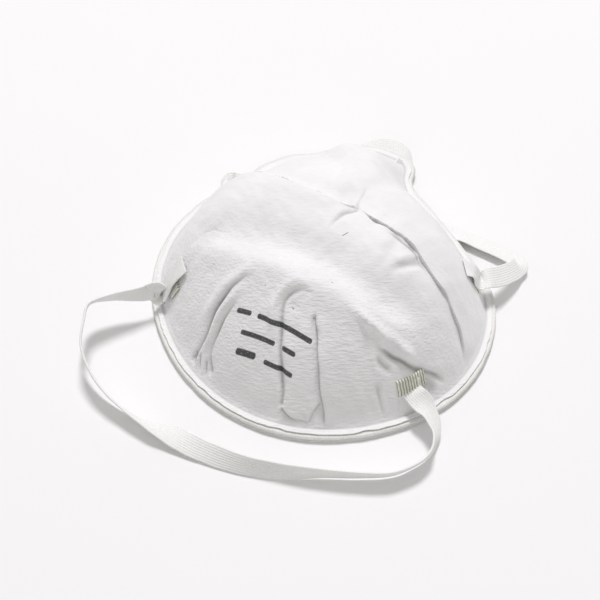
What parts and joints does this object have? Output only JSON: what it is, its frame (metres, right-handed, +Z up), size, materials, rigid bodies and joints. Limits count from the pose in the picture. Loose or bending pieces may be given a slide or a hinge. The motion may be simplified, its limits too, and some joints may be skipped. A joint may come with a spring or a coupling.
{
  "type": "disposable dust mask",
  "caption": "White moulded cup dust mask: laminated domed cup, flat welded rim, nose clip and foam, ribbed weld pads, and elastic head straps that swing.",
  "frame": {"origin": "centre of the rim plane, which is the underside of the rim, midway between the far ends of the two straps", "axes": "+Z up through the dome, +Y towards the nose, +X towards the right-hand side when the nose points away"},
  "size_m": [0.1188, 0.1626, 0.041],
  "materials": {
    "outer_nonwoven": "matt white spunbond and felt, soft and fibrous",
    "needle_felt": "matt white moulded needle felt",
    "meltblown_filter": "smooth fine meltblown web",
    "lining_nonwoven": "soft spunbond lining, fused grey-white at the rim",
    "clip_aluminium": "dull soft aluminium strip",
    "nose_foam": "matt open-cell foam",
    "strap_elastic": "knitted elastic with fine lengthwise ribs",
    "weld_pad": "fused beige-grey web with pressed ribs"
  },
  "bodies": {
    "cup": {"outer_cover": "outer_nonwoven", "support_shell": "needle_felt", "filter_layer": "meltblown_filter", "inner_lining": "lining_nonwoven", "nose_clip": "clip_aluminium", "nose_foam": "nose_foam", "upper_left_weld_pad": "weld_pad", "upper_right_weld_pad": "weld_pad", "lower_left_weld_pad": "weld_pad", "lower_right_weld_pad": "weld_pad"},
    "upper_band": {"upper_strap": "strap_elastic"},
    "lower_band": {"lower_strap": "strap_elastic"}
  },
  "joints": [
    {"name": "upper_strap_swing", "type": "hinge", "parent": "cup", "child": "upper_band", "pos_m": [0, 0.017, 0.012], "axis": [1, 0, 0], "range_deg": [-95, 105]},
    {"name": "lower_strap_swing", "type": "hinge", "parent": "cup", "child": "lower_band", "pos_m": [0, -0.03, 0.012], "axis": [-1, 0, 0], "range_deg": [-95, 105]}
  ]
}
